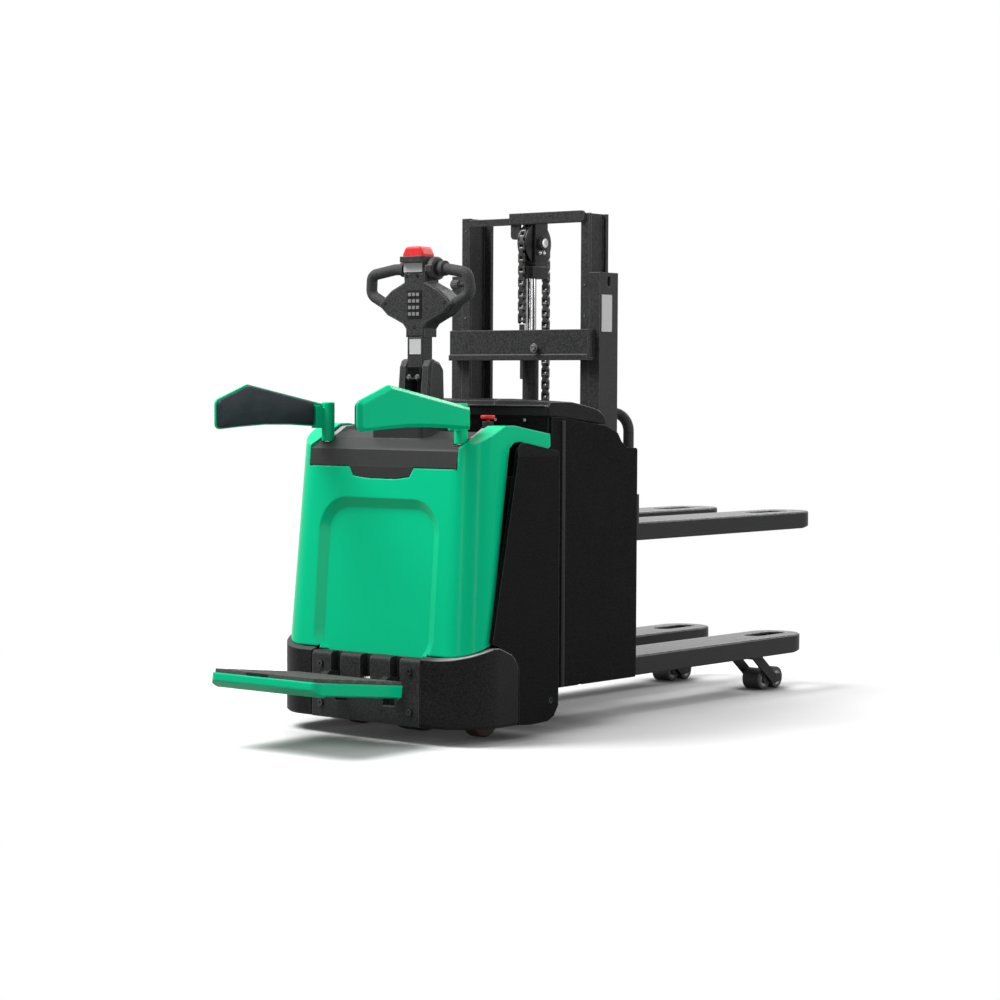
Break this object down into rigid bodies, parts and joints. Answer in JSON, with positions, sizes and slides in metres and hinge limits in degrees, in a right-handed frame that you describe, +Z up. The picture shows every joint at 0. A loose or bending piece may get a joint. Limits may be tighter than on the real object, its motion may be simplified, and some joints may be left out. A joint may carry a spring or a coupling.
{
  "type": "double stacker",
  "caption": "Electric ride-on double pallet stacker with a folding platform, side arms, tiller head, telescopic mast with ram and leaf chain, upper forks on a carriage and lower lifting forks.",
  "frame": {"origin": "floor, under the middle of the whole machine", "axes": "+Y towards the fork tips, +X to the driver's right when facing the forks, +Z up"},
  "size_m": [0.8, 2.4889, 1.594],
  "materials": {
    "green_cover": "satin",
    "black_frame": "fine textured satin",
    "black_plastic": "fine grain",
    "dash_grey": "fine grain",
    "red_button": "semi-gloss",
    "chrome": "polished",
    "steel": "plain",
    "chain_steel": "oiled",
    "rubber": "matt",
    "pad": "matt grained",
    "tread": "matt",
    "motor": "painted",
    "battery": "matt"
  },
  "bodies": {
    "chassis": {"chassis_frame": "black_frame", "front_cowl": "green_cover", "dash_panel": "dash_grey", "bumper_skirts": "black_plastic", "side_covers": "black_plastic", "hinge_plate": "black_plastic", "skirt_bolts": "steel", "pivot_pins": "steel", "power_pack": "motor", "stop_base": "black_plastic"},
    "stop_button": {"stop_button": "red_button"},
    "platform": {"platform_tray": "green_cover", "platform_mat": "rubber"},
    "arm_left": {"arm_shell_left": "green_cover", "arm_pad_left": "pad"},
    "arm_right": {"arm_shell_right": "green_cover", "arm_pad_right": "pad"},
    "steering": {"steer_head": "black_plastic", "tiller_pin": "steel", "drive_gearbox": "motor", "drive_motor": "motor"},
    "drive_wheel": {"drive_wheel": "tread"},
    "tiller": {"tiller_arm": "black_plastic", "tiller_head": "black_plastic", "tiller_grips": "black_plastic", "keypad": "black_plastic"},
    "throttle": {"throttle": "black_plastic"},
    "belly_button": {"belly_button": "red_button"},
    "caster_left": {"caster_fork_left": "black_frame"},
    "caster_right": {"caster_fork_right": "black_frame"},
    "caster_wheel_left": {"caster_wheel_left": "tread"},
    "caster_wheel_right": {"caster_wheel_right": "tread"},
    "lift_frame": {"battery_box": "black_frame", "battery_pack": "battery", "side_panels": "black_frame", "outer_mast": "black_frame", "chain_anchor": "steel", "lift_cylinder": "black_frame", "lower_fork_left": "black_frame", "lower_fork_right": "black_frame"},
    "lid": {"hood_lid": "black_plastic"},
    "swing_left": {"swing_arm_left": "black_frame"},
    "swing_right": {"swing_arm_right": "black_frame"},
    "bogie_left": {"bogie_left": "black_frame"},
    "bogie_right": {"bogie_right": "black_frame"},
    "load_wheel_left_near": {"load_wheel_left_near": "tread"},
    "load_wheel_left_far": {"load_wheel_left_far": "tread"},
    "load_wheel_right_near": {"load_wheel_right_near": "tread"},
    "load_wheel_right_far": {"load_wheel_right_far": "tread"},
    "mast_inner": {"inner_mast": "black_frame", "piston_rod": "chrome", "chain_yoke": "black_frame", "chain_front": "chain_steel"},
    "pulley": {"chain_pulley": "chain_steel"},
    "carriage": {"carriage_frame": "black_frame", "load_guard": "black_frame", "upper_fork_left": "black_frame", "upper_fork_right": "black_frame", "chain_back": "chain_steel"}
  },
  "joints": [
    {"name": "stop_press", "type": "slide", "parent": "chassis", "child": "stop_button", "axis": [0, 0, -1], "range_m": [0, 0.005], "stiffness_N_per_m": 800},
    {"name": "platform_fold", "type": "hinge", "parent": "chassis", "child": "platform", "pos_m": [0, -0.79, 0.176], "axis": [-1, 0, 0], "range_deg": [-6, 78]},
    {"name": "arm_left_fold", "type": "hinge", "parent": "chassis", "child": "arm_left", "pos_m": [-0.265, -0.685, 0.93], "axis": [0, 0, 1], "range_deg": [0, 90]},
    {"name": "arm_right_fold", "type": "hinge", "parent": "chassis", "child": "arm_right", "pos_m": [0.265, -0.685, 0.93], "axis": [0, 0, -1], "range_deg": [0, 55]},
    {"name": "steer", "type": "hinge", "parent": "chassis", "child": "steering", "pos_m": [0, -0.564, 0.5], "axis": [0, 0, 1], "range_deg": [-80, 80]},
    {"name": "drive_spin", "type": "hinge", "parent": "steering", "child": "drive_wheel", "pos_m": [0, -0.564, 0.115], "axis": [1, 0, 0], "continuous": true},
    {"name": "tiller_tilt", "type": "hinge", "parent": "steering", "child": "tiller", "pos_m": [0, -0.564, 1.09], "axis": [1, 0, 0], "range_deg": [0, 65]},
    {"name": "throttle_turn", "type": "hinge", "parent": "tiller", "child": "throttle", "pos_m": [0.068, -0.568, 1.398], "axis": [1, 0, 0], "range_deg": [-30, 30], "stiffness_Nm_per_rad": 0.5},
    {"name": "belly_press", "type": "slide", "parent": "tiller", "child": "belly_button", "axis": [0, 0, -1], "range_m": [0, 0.006], "stiffness_N_per_m": 600},
    {"name": "caster_left_swivel", "type": "hinge", "parent": "chassis", "child": "caster_left", "pos_m": [-0.24, -0.53, 0.16], "axis": [0, 0, 1], "continuous": true},
    {"name": "caster_right_swivel", "type": "hinge", "parent": "chassis", "child": "caster_right", "pos_m": [0.24, -0.53, 0.16], "axis": [0, 0, 1], "continuous": true},
    {"name": "caster_left_spin", "type": "hinge", "parent": "caster_left", "child": "caster_wheel_left", "pos_m": [-0.24, -0.56, 0.065], "axis": [1, 0, 0], "continuous": true},
    {"name": "caster_right_spin", "type": "hinge", "parent": "caster_right", "child": "caster_wheel_right", "pos_m": [0.24, -0.56, 0.065], "axis": [1, 0, 0], "continuous": true},
    {"name": "initial_lift", "type": "slide", "parent": "chassis", "child": "lift_frame", "axis": [0, 0, 1], "range_m": [-0.1, 0]},
    {"name": "lid_open", "type": "hinge", "parent": "lift_frame", "child": "lid", "pos_m": [0, -0.104, 0.93], "axis": [-1, 0, 0], "range_deg": [0, 55]},
    {"name": "mast_lift", "type": "slide", "parent": "lift_frame", "child": "mast_inner", "axis": [0, 0, 1], "range_m": [-0.178, 0.6], "deforming": ["chain_front"]},
    {"name": "carriage_lift", "type": "slide", "parent": "mast_inner", "child": "carriage", "axis": [0, 0, 1], "range_m": [-0.178, 0.6], "deforming": ["chain_back"]},
    {"name": "pulley_turn", "type": "hinge", "parent": "mast_inner", "child": "pulley", "pos_m": [0, -0.009, 1.5], "axis": [1, 0, 0], "range_deg": [-168.5, 565.6]},
    {"name": "swing_left_turn", "type": "hinge", "parent": "lift_frame", "child": "swing_left", "pos_m": [-0.1925, 0.88075, 0.158], "axis": [1, 0, 0], "range_deg": [-1, 32.2]},
    {"name": "bogie_left_turn", "type": "hinge", "parent": "swing_left", "child": "bogie_left", "pos_m": [-0.1925, 1.04, 0.037], "axis": [1, 0, 0], "range_deg": [-32.2, 1]},
    {"name": "load_left_near_spin", "type": "hinge", "parent": "bogie_left", "child": "load_wheel_left_near", "pos_m": [-0.1925, 1, 0.037], "axis": [1, 0, 0], "continuous": true},
    {"name": "load_left_far_spin", "type": "hinge", "parent": "bogie_left", "child": "load_wheel_left_far", "pos_m": [-0.1925, 1.08, 0.037], "axis": [1, 0, 0], "continuous": true},
    {"name": "swing_right_turn", "type": "hinge", "parent": "lift_frame", "child": "swing_right", "pos_m": [0.1925, 0.88075, 0.158], "axis": [1, 0, 0], "range_deg": [-1, 32.2]},
    {"name": "bogie_right_turn", "type": "hinge", "parent": "swing_right", "child": "bogie_right", "pos_m": [0.1925, 1.04, 0.037], "axis": [1, 0, 0], "range_deg": [-32.2, 1]},
    {"name": "load_right_near_spin", "type": "hinge", "parent": "bogie_right", "child": "load_wheel_right_near", "pos_m": [0.1925, 1, 0.037], "axis": [1, 0, 0], "continuous": true},
    {"name": "load_right_far_spin", "type": "hinge", "parent": "bogie_right", "child": "load_wheel_right_far", "pos_m": [0.1925, 1.08, 0.037], "axis": [1, 0, 0], "continuous": true}
  ],
  "couplings": [
    {"joint": "carriage_lift", "follows": "mast_lift", "ratio": 1},
    {"joint": "pulley_turn", "follows": "mast_lift", "rad_per_m": 16.424},
    {"joint": "swing_left_turn", "follows": "initial_lift", "rad_per_m": -5.4457},
    {"joint": "bogie_left_turn", "follows": "initial_lift", "rad_per_m": 5.4457},
    {"joint": "swing_right_turn", "follows": "initial_lift", "rad_per_m": -5.4457},
    {"joint": "bogie_right_turn", "follows": "initial_lift", "rad_per_m": 5.4457}
  ]
}
